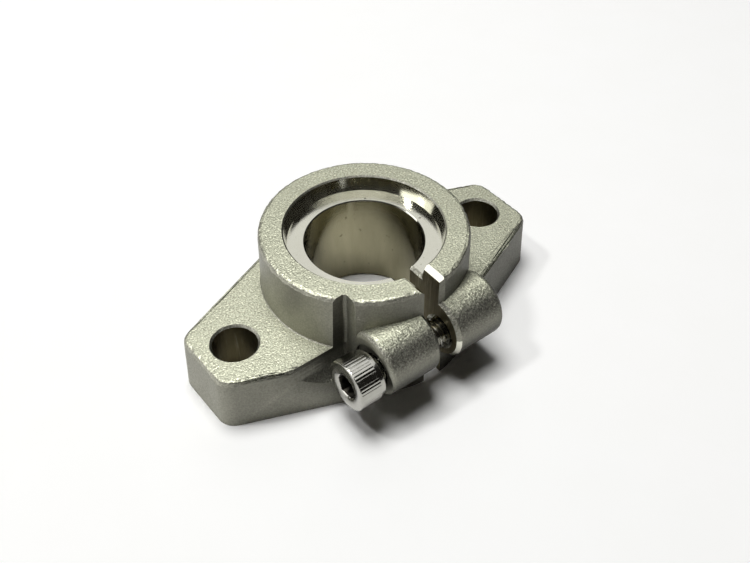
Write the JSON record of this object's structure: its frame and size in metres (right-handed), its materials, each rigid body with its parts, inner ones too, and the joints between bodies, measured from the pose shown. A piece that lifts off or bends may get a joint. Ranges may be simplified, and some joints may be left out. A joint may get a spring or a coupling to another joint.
{
  "type": "flanged shaft support block",
  "caption": "Flanged shaft support: a split hub on a diamond flange grips a shaft set through it when a cap screw draws its clamp lugs together.",
  "frame": {"origin": "on the axis of the shaft bore, in the plane of the flat base", "axes": "+Z along the shaft bore, up from the base; +X along the flange, away from the screw head; the slit and the clamp lugs are on the -Y side"},
  "size_m": [0.053, 0.033, 0.0165],
  "materials": {
    "cast_stainless_steel": "investment cast and blasted, with a turned bore and recess",
    "polished_stainless_steel": "bright cold-formed stainless steel"
  },
  "bodies": {
    "block": {"support_body": "cast_stainless_steel"},
    "screw": {"clamp_screw": "polished_stainless_steel"}
  },
  "joints": [
    {"name": "clamp_screw_turn", "type": "hinge", "parent": "block", "child": "screw", "pos_m": [0, -0.0141, 0.00735], "axis": [1, 0, 0], "range_deg": [-2400, 460]}
  ]
}
